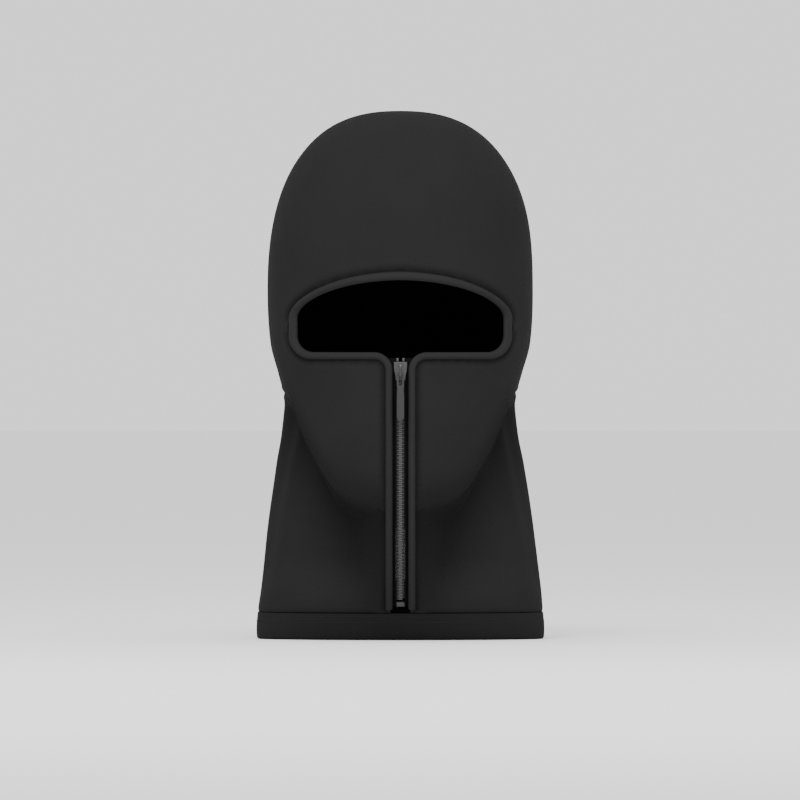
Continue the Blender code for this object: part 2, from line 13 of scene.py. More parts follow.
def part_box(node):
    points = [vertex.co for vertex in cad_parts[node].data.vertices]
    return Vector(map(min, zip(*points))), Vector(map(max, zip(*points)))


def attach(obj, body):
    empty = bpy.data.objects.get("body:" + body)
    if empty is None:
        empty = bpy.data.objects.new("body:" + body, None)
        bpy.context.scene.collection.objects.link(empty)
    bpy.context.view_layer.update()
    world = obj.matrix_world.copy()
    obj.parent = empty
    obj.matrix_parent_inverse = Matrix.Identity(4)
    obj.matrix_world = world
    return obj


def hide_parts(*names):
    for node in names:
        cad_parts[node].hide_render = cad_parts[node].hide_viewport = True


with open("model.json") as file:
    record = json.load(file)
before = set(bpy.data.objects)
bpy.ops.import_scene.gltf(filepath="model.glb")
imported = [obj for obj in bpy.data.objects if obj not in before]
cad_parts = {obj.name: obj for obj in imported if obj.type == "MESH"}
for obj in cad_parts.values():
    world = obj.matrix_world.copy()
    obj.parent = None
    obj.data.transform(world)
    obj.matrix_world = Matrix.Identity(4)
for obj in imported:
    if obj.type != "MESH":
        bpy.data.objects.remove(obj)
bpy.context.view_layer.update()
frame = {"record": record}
joints = {joint["name"]: joint for joint in frame["record"]["behaviour"]["joints"]}

MM = 0.001

# The form of the head, in millimetres, as the frame has it
CREST = 232.0
DOME = 118.0
TOP = CREST + DOME
DOME_POWER = 2.45
SECTION_POWER = 2.2
HEM_HEIGHT = 18.0
FACE_WIDTHS = ((86, 68.0), (120, 74.0), (160, 76.8), (176, 80.6), (196, 85.8), (CREST, 87.8))
NECK_WIDTHS = ((0, 95.0), (60, 90.0), (116, 82.0), (136, 78.4), (160, 76.8), (176, 80.6))
BACK_DEPTHS = ((0, 77.0), (60, 72.0), (120, 74.0), (165, 86.0), (200, 96.5), (CREST, 100.0))
JAW_HEIGHTS = ((0, 86), (20, 90), (32, 101), (42, 122), (52, 141), (64, 157), (90, 163), (180, 150))
BROW_DEPTH = 94.5
UNDER_JAW = 15.0
RECESS = 15.0
RECESS_START = 14.0
RECESS_RAMP = 26.0
RECESS_FADE = (18.0, 55.0)
SHELL_THICK = 1.7
LINING = (2.1, 3.1)

SHELL = (0.0, SHELL_THICK)
UPRIGHT_SHARE = 0.46  # the share of a hood panel's rows that lie below the crown

# How finely the cloth is drawn: degrees between columns, then rows in each piece
SIDE = 90
SLOT_ANGLE = 5.9
LINING_LAP = 0.03
FRONT_STEP = 1.15
BACK_STEP = 1.5
LINING_STEP = 3.0
FACE_ROWS = 210
BACK_ROWS = 150
LINING_ROWS = 70
NECK_ROWS = 90
BACK_NECK_ROWS = 84
NECK_LINING_ROWS = 44

# The grooves where cloth is sewn: how deep, and how wide
EDGE_GROOVE = (1.5, 2.1)
JAW_GROOVE = (0.75, 1.3)
SEAM_GROOVE = (0.6, 1.2)
HEM_GROOVE = (0.5, 1.2)

# The hem band and its stitches
HEM_LOW = 2.6
HEM_TOP = 17.8
HEM_OUTSIDE = -0.3
HEM_INSIDE = 3.4
HEM_FOLD = (2.0, 1.9)  # how far the fold reaches across, and down
HEM_SWELL = 0.35
STITCH = (0.22, 2.1)
STITCH_ROWS = (15.6, 11.8)
HEM_STITCHES = 196

# The bound edge
EYE_HALF = 69.3
EYE_BOTTOM = 189.6
EYE_SIDE_TOP = 212.0
EYE_ARCH = 24.5
BROW_POWER = 1.9
EYE_CORNER = 11.0
BINDING_WIDTH = 4.8
BROW_BINDING = 5.7  # its width over the brow
BINDING_EDGE = 1.15  # how far in its two edges lie
BINDING_RISE = 2.15
BINDING_ROUND = 0.62
FRONT_CORNER = 12.0
NEAR_EDGE_TOP = 262.0  # no point above this is close to the bound edge
FAR = 99.0  # stands for a distance too great to matter
TUCK = 0.2  # how far the cut cloth reaches under the binding

# The zip
ZIP_RADIUS = 260.0
ZIP_MIDDLE = 165.0
ZIP_FRONT = 98.0
ZIP_TOP = 186.0
ZIP_END = 20.5
ZIP_SLOT = 5.2
TEETH = (2.9, 5.3)
TAPE = (3.8, 4.4)
TAPE_START = 3.0
TAPE_WIDTH = 9.0
TAPE_ACROSS = (0.0, 0.25, 0.6, 0.95, 1.2, 1.8, 3.5, 6.0, TAPE_WIDTH)
TAPE_CORD = (0.35, 0.75, 0.95, 0.75, 0.4, 0.08, 0.0, 0.0, 0.0)  # how far each rises
TOOTH_PITCH = 2.54
TOOTH_LONG = 1.18
TOOTH_HALF = 2.8
TOOTH_OVERLAP = 1.3
STOP_LONG = 2.5
FOOT_LONG = 3.6
SLIDER_TOP = 2.8
SLIDER_LONG = 12.0
SLIDER_MIDDLE = SLIDER_TOP + SLIDER_LONG / 2
SHIELD_HALF = 4.35
SHIELD_FACE = -1.4
SHIELD_THICK = 1.2
BACK_HALF = 4.2
BACK_PLATE = (-6.8, -5.6)
ARCH_HALF = 0.85
ARCH_FOOT = -1.15
ARCH_TALL = 4.25
ARCH_START = -4.5
ARCH_LONG = 8.6
PULL_HALF = 2.4
PULL_THICK = 1.1
PULL_WINDOW = (0.6, 8.0)  # where the eye starts and ends, down the pull
PULL_WAIST = 10.5
DOME_RISE = 1.0  # how far the coil's rounded face stands up
CORD_MIDDLE = (2.2, -3.75)
CORD_RADIUS = 0.5
CORD_STEP = 1.3

# The nape label
LABEL_LOW = 38
LABEL_HIGH = 72
LABEL_HALF = 13.0
LABEL_FACES = (3.5, 4.0)

# The room
FLOOR = 40.0  # its radius, in metres
WORLD_LIGHT = 1.28
KEY_LIGHT = ((-0.25, -1.5, 2.0), (1.4, 1.0), 45)
FILL_LIGHT = ((1.1, -1.8, 0.9), (1.2, 1.2), 5)
LIT_POINT = (0, 0, 0.2)
LENS = 400
SENSOR = 36
VIEW_WIDTH = 0.528
VIEW_FRONT = -0.03
VIEW_SIDE = -0.0003
VIEW_HEIGHT = 0.1583

# Where the frame puts the zip's centre, from front to back
SHIFT = joints["slider_travel"]["pos_m"][1] / MM - (ZIP_RADIUS - ZIP_FRONT)


# ---------------------------------------------------------------- the form


def smooth(low, high, value):
    t = np.clip((value - low) / (high - low), 0.0, 1.0)
    return t * t * (3 - 2 * t)


def through(keys, place):
    """A smooth curve through the keys, level at its two ends, for an array of places."""
    xs = np.array([k[0] for k in keys], float)
    ys = np.array([k[1] for k in keys], float)
    slopes = np.zeros(len(xs))
    slopes[1:-1] = (ys[2:] - ys[:-2]) / (xs[2:] - xs[:-2])
    place = np.clip(place, xs[0], xs[-1])
    i = np.clip(np.searchsorted(xs, place, side="right") - 1, 0, len(xs) - 2)
    wide = xs[i + 1] - xs[i]
    t = (place - xs[i]) / wide
    start = (2 * t**3 - 3 * t**2 + 1) * ys[i] + (t**3 - 2 * t**2 + t) * wide * slopes[i]
    return start + (3 * t**2 - 2 * t**3) * ys[i + 1] + (t**3 - t**2) * wide * slopes[i + 1]


def jaw(angle):
    turned = np.abs((np.degrees(angle) + 180) % 360 - 180)
    return through(JAW_HEIGHTS, turned)


def front_depth(z):
    """How far forward the middle of the front is: the zip's arc, easing into the brow."""
    bend = np.arcsin((np.minimum(z, EYE_BOTTOM) - ZIP_MIDDLE) / ZIP_RADIUS)
    depth = ZIP_FRONT - ZIP_RADIUS * (1 - np.cos(bend))
    t = np.clip((z - EYE_BOTTOM) / (CREST - EYE_BOTTOM), 0, 1)
    ease = (t**3 - 2 * t**2 + t) * (CREST - EYE_BOTTOM) * -np.tan(bend)
    return (2 * t**3 - 3 * t**2 + 1) * depth + ease + (3 * t**2 - 2 * t**3) * BROW_DEPTH


def oval(angle, half, depth, power):
    across = np.abs(np.sin(angle)) / half
    along = np.abs(np.cos(angle)) / depth
    return (across**power + along**power) ** (-1 / power)


def reach(angle, z):
    """The distance from the upright axis to the outer surface."""
    rise = np.clip((z - CREST) / DOME, 0, 1)
    share = (1 - rise**DOME_POWER) ** (1 / DOME_POWER)
    depth = np.where(np.cos(angle) < 0, through(BACK_DEPTHS, z), front_depth(z))
    head = oval(angle, through(FACE_WIDTHS, z), depth, SECTION_POWER) * share
    throat = oval(angle, through(NECK_WIDTHS, z), depth, SECTION_POWER)
    beside = smooth(RECESS_START, RECESS_START + RECESS_RAMP, np.abs(throat * np.sin(angle)))
    turned = np.abs((np.degrees(angle) + 180) % 360 - 180)
    beside = beside * (1 - smooth(50, 92, turned))
    throat = throat - RECESS * beside * smooth(*RECESS_FADE, z)
    seam = jaw(angle)
    roll = smooth(seam - UNDER_JAW, seam, z)
    return throat + (head - throat) * roll


def surface(angle, z):
    out = reach(angle, z)
    return np.stack([out * np.sin(angle), -out * np.cos(angle) + SHIFT, z + 0 * angle], -1)


def outward(angle, z):
    step = np.minimum(0.4, 0.2 * np.maximum(TOP - z, 0.01))
    up = surface(angle, z + step) - surface(angle, z - step)
    round_it = surface(angle + 0.01, z) - surface(angle - 0.01, z)
    out = np.cross(round_it, up)
    size = np.linalg.norm(out, axis=-1, keepdims=True)
    out = out / np.maximum(size, 1e-12)
    pole = (z > TOP - 0.02)[..., None]
    return np.where(pole, np.array([0.0, 0.0, 1.0]), out)


def skin(angle, z, inset):
    angle, z = np.broadcast_arrays(np.asarray(angle, float), np.asarray(z, float))
    seam = jaw(angle)
    slope_at = np.where(np.abs(z - seam) <= 0.3, seam, z)
    return surface(angle, z) - outward(angle, slope_at) * np.asarray(inset)[..., None]


def angle_at(x, z):
    angle = np.zeros_like(np.asarray(x, float))
    for _ in range(14):
        angle = np.arcsin(np.clip(x / reach(angle, z), -1, 1))
    return angle


def front(x, z, inset):
    x, z = np.asarray(x, float), np.asarray(z, float)
    return skin(angle_at(x, z), z, np.broadcast_to(inset, x.shape))


def arc(cx, cz, radius, start, end, steps):
    turns = np.radians(np.linspace(start, end, steps + 1))
    return [(cx + radius * math.cos(t), cz + radius * math.sin(t)) for t in turns]


def outline(offset, low, fine):
    """The left half of the bound edge, from the zip's foot to the brow, moved into the cloth."""
    beside = ZIP_SLOT + offset
    middle = (ZIP_SLOT + FRONT_CORNER, EYE_BOTTOM - FRONT_CORNER)
    rise = middle[1] - low
    path = [(beside, low + rise * k / (24 * fine)) for k in range(24 * fine)]
    path += arc(*middle, FRONT_CORNER - offset, 180, 90, 6 * fine)
    flat = EYE_HALF - EYE_CORNER - middle[0]
    across = [(middle[0] + flat * k / (6 * fine), EYE_BOTTOM - offset) for k in range(6 * fine)]
    path += across[1:]
    centre = (EYE_HALF - EYE_CORNER, EYE_BOTTOM + EYE_CORNER)
    path += arc(*centre, EYE_CORNER + offset, -90, 0, 6 * fine)
    steps = 16 * fine
    for k in range(steps + 1):
        turn = math.radians(90 * k / steps)
        x = (EYE_HALF + offset) * max(0.0, math.cos(turn)) ** (2 / BROW_POWER)
        z = EYE_SIDE_TOP + (EYE_ARCH + offset) * math.sin(turn) ** (2 / BROW_POWER)
        path.append((x if k < steps else 0.0, z))
    return np.array(path)


def mirrored(path):
    return np.concatenate([path, path[-2::-1] * (-1, 1)])


def edge_paths(fine, low):
    """The edge at offset zero, its outward steps for one millimetre, and the strip's width."""
    inner = mirrored(outline(0.0, low, fine))
    steps = mirrored(outline(1.0, low, fine)) - inner
    brow = smooth(EYE_SIDE_TOP + 4, EYE_SIDE_TOP + EYE_ARCH, inner[:, 1])
    width = BINDING_WIDTH + (BROW_BINDING - BINDING_WIDTH) * brow
    return inner, steps, width


def edge_tree():
    inner, steps, width = edge_paths(3, ZIP_END)
    outer = inner + steps * width[:, None]
    points = front(outer[:, 0], outer[:, 1], 0.0)
    tree = KDTree(len(points))
    for i, p in enumerate(points):
        tree.insert(p, i)
    tree.balance()
    return tree


EDGE = edge_tree()


def wave(angle, z):
    """Slow unevenness of the worn cloth, in millimetres."""
    round_it = angle * 90
    slow = np.sin(round_it / 31 + 1.3 * np.sin(z / 47)) * np.sin(z / 38 + 0.9 * np.sin(round_it / 53))
    small = np.sin(round_it / 13 + z / 29 + 2 * np.sin(z / 61)) * np.sin(z / 17 - round_it / 41)
    return 0.45 * slow + 0.14 * small


def folds(angle, z):
    """Soft upright folds in the neck, at the sides and behind, fading at the jaw and the hem."""
    turned = np.degrees((angle + np.pi) % (2 * np.pi) - np.pi)
    side = np.abs(turned)
    below = smooth(20, 46, z) * (1 - smooth(-16, -3, z - jaw(angle)))
    lean = side + 0.05 * (z - 100)
    first = np.exp(-(((lean - 67) / 5.5) ** 2)) - 0.8 * np.exp(-(((lean - 80) / 6.5) ** 2))
    behind = 0.6 * np.sin(np.radians(turned) * 11 + z / 55) * smooth(95, 125, side)
    throat = 0.55 * np.exp(-(((lean - 30) / 7) ** 2)) * (1 - smooth(70, 95, z))
    return below * (1.9 * first + behind - 1.2 * throat)


def valley(distance, depth, wide):
    """A seam's groove, with the slight swell of the turned edge beside it."""
    groove = depth * np.exp(-((distance / wide) ** 2))
    return groove - 0.32 * depth * np.exp(-(((distance - 2.6 * wide) / (1.1 * wide)) ** 2))


# ---------------------------------------------------------------- meshes


def make_mesh(name, points, faces, uv=None):
    mesh = bpy.data.meshes.new(name)
    mesh.from_pydata([tuple(p) for p in np.asarray(points) * MM], [], faces)
    if uv is not None:
        layer = mesh.uv_layers.new(name="cloth")
        index = np.zeros(len(mesh.loops), np.int32)
        mesh.loops.foreach_get("vertex_index", index)
        layer.data.foreach_set("uv", np.asarray(uv, np.float32)[index].ravel())
    thing = bpy.data.objects.new(name, mesh)
    bpy.context.scene.collection.objects.link(thing)
    bm = bmesh.new()
    bm.from_mesh(mesh)
    bmesh.ops.delete(bm, geom=[v for v in bm.verts if not v.link_faces], context="VERTS")
    bmesh.ops.recalc_face_normals(bm, faces=bm.faces)
    bm.to_mesh(mesh)
    bm.free()
    return thing


def by_angle(thing, degrees):
    """Shades a piece smooth, with edges sharper than that kept."""
    bpy.ops.object.select_all(action="DESELECT")
    thing.select_set(True)
    bpy.context.view_layer.objects.active = thing
    bpy.ops.object.shade_smooth_by_angle(angle=math.radians(degrees))
    thing.select_set(False)


def sheet_mesh(name, outer, inner, uv, pole=False):
    """A closed sheet between two grids of points, its rims closed, its last row one point if asked."""
    tall, wide = outer.shape[:2]
    count = tall * wide
    points = np.concatenate([outer.reshape(-1, 3), inner.reshape(-1, 3)])
    faces = []
    columns = wide - 1

    def at(r, c, layer):
        return layer * count + r * wide + (0 if pole and r == tall - 1 else c)

    for r in range(tall - 1):
        for c in range(columns):
            quad = [at(r, c, 0), at(r, c + 1, 0), at(r + 1, c + 1, 0), at(r + 1, c, 0)]
            faces.append(quad)
            faces.append([i + count for i in reversed(quad)])
    for c in range(columns):
        faces.append([at(0, c, 1), at(0, c + 1, 1), at(0, c + 1, 0), at(0, c, 0)])
        top = tall - 1
        faces.append([at(top, c, 0), at(top, c + 1, 0), at(top, c + 1, 1), at(top, c, 1)])
    end = wide - 1
    for r in range(tall - 1):
        faces.append([at(r, 0, 0), at(r + 1, 0, 0), at(r + 1, 0, 1), at(r, 0, 1)])
        faces.append([at(r, end, 1), at(r + 1, end, 1), at(r + 1, end, 0), at(r, end, 0)])
    faces = [list(dict.fromkeys(face)) for face in faces]
    faces = [face for face in faces if len(face) > 2]
    flat = uv.reshape(-1, 2)
    return make_mesh(name, points, faces, np.concatenate([flat, flat]))


def cloth_depth(angle, z, shell=True):
    """How far the cloth is moved in from the plain form, in millimetres."""
    depth = wave(angle, z) * smooth(TOP + 4, TOP - 30, z) - folds(angle, z)
    fade_hem = smooth(HEM_HEIGHT, HEM_HEIGHT + 14, z)
    depth = depth * fade_hem
    points = surface(angle, z)
    ahead = (points[..., 1] < SHIFT) & (z < NEAR_EDGE_TOP)
    away = np.full(angle.shape, FAR)
    for i in np.ndindex(angle.shape):
        if ahead[i]:
            away[i] = EDGE.find(points[i])[2]
    depth = depth * smooth(2, 22, away)
    if not shell:
        return depth
    groove = valley(away, *EDGE_GROOVE)
    seam = z - jaw(angle)
    clear = smooth(3, 12, away)
    jaw_line = valley(np.abs(seam), *JAW_GROOVE) * clear
    round_side = np.abs(points[..., 1] - SHIFT)
    below_crown = smooth(TOP + 1, TOP - 12, z)
    side_seam = valley(round_side, *SEAM_GROOVE) * below_crown
    behind = points[..., 1] > SHIFT
    centre = np.where(behind & (seam > 0), np.abs(points[..., 0]), FAR)
    back_seam = valley(centre, *SEAM_GROOVE) * below_crown
    hem = valley(z - HEM_HEIGHT, *HEM_GROOVE)
    return depth + groove + jaw_line + side_seam + back_seam + hem


def face_rows(angles, count):
    """Heights from the jaw seam to the top, evenly spaced over the cloth."""
    low = jaw(angles)
    even = np.linspace(0, 1, count)
    dome = np.radians(90 * np.clip((even - UPRIGHT_SHARE) / (1 - UPRIGHT_SHARE), 0, 1))
    over = CREST + DOME * np.sin(dome) ** (2 / DOME_POWER)
    share = np.clip(even / UPRIGHT_SHARE, 0, 1)
    rows = low[None, :] + (CREST - low[None, :]) * share[:, None]
    return np.where((even > UPRIGHT_SHARE)[:, None], over[:, None], rows)


def neck_rows(angles, count):
    """Heights from just above the hem's line to the jaw seam."""
    low = HEM_HEIGHT + 0.1
    high = jaw(angles)
    return low + (high[None, :] - low) * np.linspace(0, 1, count)[:, None]


def flat_grid(points, angles):
    """The cloth's own coordinates, in units of ten millimetres."""
    up = np.linalg.norm(np.diff(points, axis=0), axis=-1)
    v = np.concatenate([np.zeros((1, points.shape[1])), np.cumsum(up, axis=0)])
    u = np.broadcast_to(angles[None, :] * 88.0, v.shape)
    return np.stack([u / 10, v / 10], -1)


def panel(name, angles, heights, layer, shell=True, slot=None):
    """One cut of cloth, with its thickness."""
    grid_angles = np.broadcast_to(angles[None, :], heights.shape).copy()
    if slot is not None:
        for column in slot:
            side = np.full(heights.shape[0], math.copysign(BINDING_WIDTH - TUCK + ZIP_SLOT, angles[column]))
            grid_angles[:, column] = angle_at(side, heights[:, column])
    depth = cloth_depth(grid_angles, heights, shell)
    outer = skin(grid_angles, heights, depth + layer[0])
    inner = skin(grid_angles, heights, depth * 0.8 + layer[1] + (0.2 if shell else 0.0))
    uv = flat_grid(outer, angles)
    return sheet_mesh(name, outer, inner, uv, pole=heights[-1, 0] >= TOP - 0.001)


def cut_opening(thing):
    """Cuts the eye opening and the zip's slot, square to the cloth, under the binding's edge."""
    inner, steps, width = edge_paths(1, HEM_HEIGHT - 8)
    path = inner + steps * (width - TUCK)[:, None]
    count = len(path)
    near = front(path[:, 0], path[:, 1], -5.0)
    far = front(path[:, 0], path[:, 1], 8.0)
    ahead = [0, -250 + SHIFT, EYE_BOTTOM + 12]
    inside = [0, -25 + SHIFT, EYE_BOTTOM + 12]
    points = np.concatenate([near, far, [ahead, inside]])
    faces = []
    for c in range(count):
        n = (c + 1) % count
        faces.append([c, n, n + count, c + count])
        faces.append([n, c, 2 * count])
        faces.append([c + count, n + count, 2 * count + 1])
    cutter = make_mesh(thing.name + "_cutter", points, faces)
    cut = thing.modifiers.new("opening", "BOOLEAN")
    cut.object = cutter
    cut.solver = "EXACT"
    bpy.ops.object.select_all(action="DESELECT")
    thing.select_set(True)
    bpy.context.view_layer.objects.active = thing
    bpy.ops.object.modifier_apply(modifier=cut.name)
    thing.select_set(False)
    bpy.data.objects.remove(cutter)


# ---------------------------------------------------------------- materials


def link(tree, a, b):
    tree.links.new(a, b)


def socket(group, name, way, kind, value=None):
    made = group.interface.new_socket(name=name, in_out=way, socket_type=kind)
    if value is not None:
        made.default_value = value
    return made


def math_node(tree, operation, a, b=None):
    node = tree.nodes.new("ShaderNodeMath")
    node.operation = operation
    for i, value in enumerate((a, b)):
        if value is None:
            continue
        if isinstance(value, (int, float)):
            node.inputs[i].default_value = value
        else:
            link(tree, value, node.inputs[i])
    return node.outputs[0]


def knit_group():
    """Fine knitted cloth: columns of stitches, a brushed surface and slow unevenness of tone, darkened
    towards near black by painted shade from its shade input.
    """
    group = bpy.data.node_groups.new("knit_cloth", "ShaderNodeTree")
    socket(group, "Cloth", "INPUT", "NodeSocketVector")
    socket(group, "Place", "INPUT", "NodeSocketVector")
    socket(group, "Colour", "INPUT", "NodeSocketColor")
    socket(group, "Worn Colour", "INPUT", "NodeSocketColor")
    socket(group, "Stitches", "INPUT", "NodeSocketFloat", 5.0)
    socket(group, "Nap", "INPUT", "NodeSocketFloat", 0.5)
    socket(group, "Painted Shade", "INPUT", "NodeSocketFloat", 0.0)
    socket(group, "Colour Out", "OUTPUT", "NodeSocketColor")
    socket(group, "Roughness", "OUTPUT", "NodeSocketFloat")
    socket(group, "Height", "OUTPUT", "NodeSocketFloat")
    nodes = group.nodes
    enter = nodes.new("NodeGroupInput")
    leave = nodes.new("NodeGroupOutput")
    split = nodes.new("ShaderNodeSeparateXYZ")
    link(group, enter.outputs["Cloth"], split.inputs[0])
    turn = math_node(group, "MULTIPLY", enter.outputs["Stitches"], 2 * math.pi)
    u = math_node(group, "MULTIPLY", split.outputs[0], turn)
    v = math_node(group, "MULTIPLY", split.outputs[1], turn)
    columns = math_node(group, "ABSOLUTE", math_node(group, "SINE", u))
    slant = math_node(group, "ADD", v, math_node(group, "MULTIPLY", columns, 1.7))
    loops = math_node(group, "SINE", math_node(group, "MULTIPLY", slant, 1.35))
    knit = math_node(group, "ADD", math_node(group, "MULTIPLY", loops, 0.5), columns)
    nap = nodes.new("ShaderNodeTexNoise")
    nap.inputs["Scale"].default_value = 1500
    nap.inputs["Detail"].default_value = 4
    link(group, enter.outputs["Place"], nap.inputs["Vector"])
    slow = nodes.new("ShaderNodeTexNoise")
    slow.inputs["Scale"].default_value = 26
    slow.inputs["Detail"].default_value = 3
    link(group, enter.outputs["Place"], slow.inputs["Vector"])
    fuzz = math_node(group, "MULTIPLY", nap.outputs["Fac"], enter.outputs["Nap"])
    height = math_node(group, "ADD", math_node(group, "MULTIPLY", knit, 0.35), fuzz)
    link(group, height, leave.inputs["Height"])
    tone = math_node(group, "MULTIPLY", slow.outputs["Fac"], 0.55)
    tone = math_node(group, "ADD", tone, math_node(group, "MULTIPLY", nap.outputs["Fac"], 0.35))
    tone = math_node(group, "ADD", tone, math_node(group, "MULTIPLY", knit, 0.06))
    mix = nodes.new("ShaderNodeMix")
    mix.data_type = "RGBA"
    link(group, tone, mix.inputs["Factor"])
    link(group, enter.outputs["Colour"], mix.inputs["A"])
    link(group, enter.outputs["Worn Colour"], mix.inputs["B"])
    # Painted shade: the colour is mixed towards near black as the shade input asks.
    painted_shade_mix = nodes.new("ShaderNodeMix")
    painted_shade_mix.data_type = "RGBA"
    link(group, math_node(group, "MULTIPLY", enter.outputs["Painted Shade"], 0.85), painted_shade_mix.inputs["Factor"])
    link(group, mix.outputs["Result"], painted_shade_mix.inputs["A"])
    painted_shade_mix.inputs["B"].default_value = (0.0022, 0.0022, 0.0022, 1)
    link(group, painted_shade_mix.outputs["Result"], leave.inputs["Colour Out"])
    rough = math_node(group, "MULTIPLY", nap.outputs["Fac"], 0.12)
    link(group, math_node(group, "ADD", rough, 0.84), leave.inputs["Roughness"])
    return group


def metal_group():
    """Worn enamel or cast metal: fine pits, and a paler tone in broad patches."""
    group = bpy.data.node_groups.new("small_hardware", "ShaderNodeTree")
    socket(group, "Place", "INPUT", "NodeSocketVector")
    socket(group, "Colour", "INPUT", "NodeSocketColor")
    socket(group, "Worn Colour", "INPUT", "NodeSocketColor")
    socket(group, "Rough", "INPUT", "NodeSocketFloat", 0.35)
    socket(group, "Colour Out", "OUTPUT", "NodeSocketColor")
    socket(group, "Roughness", "OUTPUT", "NodeSocketFloat")
    socket(group, "Height", "OUTPUT", "NodeSocketFloat")
    nodes = group.nodes
    enter = nodes.new("NodeGroupInput")
    leave = nodes.new("NodeGroupOutput")
    pits = nodes.new("ShaderNodeTexNoise")
    pits.inputs["Scale"].default_value = 900
    pits.inputs["Detail"].default_value = 5
    patch = nodes.new("ShaderNodeTexNoise")
    patch.inputs["Scale"].default_value = 170
    for node in (pits, patch):
        link(group, enter.outputs["Place"], node.inputs["Vector"])
    link(group, pits.outputs["Fac"], leave.inputs["Height"])
    mix = nodes.new("ShaderNodeMix")
    mix.data_type = "RGBA"
    link(group, patch.outputs["Fac"], mix.inputs["Factor"])
    link(group, enter.outputs["Colour"], mix.inputs["A"])
    link(group, enter.outputs["Worn Colour"], mix.inputs["B"])
    link(group, mix.outputs["Result"], leave.inputs["Colour Out"])
    rough = math_node(group, "MULTIPLY", pits.outputs["Fac"], 0.2)
    rough = math_node(group, "ADD", rough, enter.outputs["Rough"])
    link(group, rough, leave.inputs["Roughness"])
    return group


KNIT = knit_group()
HARDWARE = metal_group()


def finish_material(made, group_node, bump_size, specular, metallic=0.0, sheen=0.0):
    tree = made.node_tree
    shader = tree.nodes["Principled BSDF"]
    link(tree, group_node.outputs["Colour Out"], shader.inputs["Base Color"])
    link(tree, group_node.outputs["Roughness"], shader.inputs["Roughness"])
    bump = tree.nodes.new("ShaderNodeBump")
    bump.inputs["Strength"].default_value = 0.6
    bump.inputs["Distance"].default_value = bump_size * MM
    link(tree, group_node.outputs["Height"], bump.inputs["Height"])
    link(tree, bump.outputs["Normal"], shader.inputs["Normal"])
    shader.inputs["Specular IOR Level"].default_value = specular
    shader.inputs["Metallic"].default_value = metallic
    shader.inputs["Sheen Weight"].default_value = sheen
    shader.inputs["Sheen Roughness"].default_value = 0.6
    return made


def cloth_material(name, colour, worn, stitches, nap, bump_size, specular=0.03, sheen=0.0):
    made = bpy.data.materials.new(name)
    made.use_nodes = True
    tree = made.node_tree
    node = tree.nodes.new("ShaderNodeGroup")
    node.node_tree = KNIT
    place = tree.nodes.new("ShaderNodeTexCoord")
    link(tree, place.outputs["UV"], node.inputs["Cloth"])
    link(tree, place.outputs["Object"], node.inputs["Place"])
    node.inputs["Colour"].default_value = (*colour, 1)
    node.inputs["Worn Colour"].default_value = (*worn, 1)
    # The painted shade marked on the shell cloth's points darkens its colour.
    painted_shade = tree.nodes.new("ShaderNodeAttribute")
    painted_shade.attribute_name = "painted_shade"
    link(tree, painted_shade.outputs["Fac"], node.inputs["Painted Shade"])
    node.inputs["Stitches"].default_value = stitches
    node.inputs["Nap"].default_value = nap
    return finish_material(made, node, bump_size, specular, sheen=sheen)


def side_shade_share(tree, place):
    """Painted shade across the chain: one along its middle and little at its sides, so that the sides are
    painted dark where they turn from the light.
    """
    split = tree.nodes.new("ShaderNodeSeparateXYZ")
    link(tree, place.outputs["Object"], split.inputs[0])
    off = math_node(tree, "MULTIPLY", math_node(tree, "ABSOLUTE", split.outputs[0]), 1 / MM)
    spread = tree.nodes.new("ShaderNodeMapRange")
    spread.interpolation_type = "SMOOTHSTEP"
    for name, value in (("From Min", 0.6), ("From Max", 2.5), ("To Min", 1.0), ("To Max", 0.12)):
        spread.inputs[name].default_value = value
    link(tree, off, spread.inputs["Value"])
    return spread.outputs["Result"]


def hardware_material(name, colour, worn, rough, metallic, specular=0.5, shaded_sides=False):
    made = bpy.data.materials.new(name)
    made.use_nodes = True
    tree = made.node_tree
    node = tree.nodes.new("ShaderNodeGroup")
    node.node_tree = HARDWARE
    place = tree.nodes.new("ShaderNodeTexCoord")
    link(tree, place.outputs["Object"], node.inputs["Place"])
    node.inputs["Colour"].default_value = (*colour, 1)
    node.inputs["Worn Colour"].default_value = (*worn, 1)
    node.inputs["Rough"].default_value = rough
    finish_material(made, node, 0.03, specular, metallic)
    # The chain's sides get painted shade.
    if shaded_sides:
        shader = tree.nodes["Principled BSDF"]
        side_shade = tree.nodes.new("ShaderNodeMix")
        side_shade.data_type = "RGBA"
        link(tree, side_shade_share(tree, place), side_shade.inputs["Factor"])
        side_shade.inputs["A"].default_value = (0.003, 0.003, 0.003, 1)
        link(tree, node.outputs["Colour Out"], side_shade.inputs["B"])
        link(tree, side_shade.outputs["Result"], shader.inputs["Base Color"])
    return made


SHELL_CLOTH = cloth_material("shell_cloth", (0.0132,) * 3, (0.0185,) * 3, 5.5, 0.5, 0.18)
LINING_CLOTH = cloth_material("lining_cloth", (0.005,) * 3, (0.008,) * 3, 4.0, 1.2, 0.3)
BINDING_CLOTH = cloth_material("binding_cloth", (0.018,) * 3, (0.023,) * 3, 7.0, 0.4, 0.12)
TAPE_CLOTH = cloth_material("tape_cloth", (0.004,) * 3, (0.006,) * 3, 9.0, 0.2, 0.15, specular=0.05)
THREAD = cloth_material("thread", (0.018,) * 3, (0.024,) * 3, 9.0, 0.3, 0.08)
LABEL_CLOTH = cloth_material("label_cloth", (0.55, 0.55, 0.53), (0.62, 0.62, 0.6), 9.0, 0.15, 0.06)
# The coil's sides are darkened by painted shade.
COIL = hardware_material("coil", (0.058,) * 3, (0.07,) * 3, 0.5, 0.0, 0.25, shaded_sides=True)
ENAMEL = hardware_material("slider_metal", (0.034,) * 3, (0.052,) * 3, 0.36, 0.25)
CROWN_METAL = hardware_material("crown_metal", (0.024,) * 3, (0.04,) * 3, 0.27, 0.4)
PULL_ENAMEL = hardware_material("pull_metal", (0.02,) * 3, (0.028,) * 3, 0.45, 0.15, 0.35)


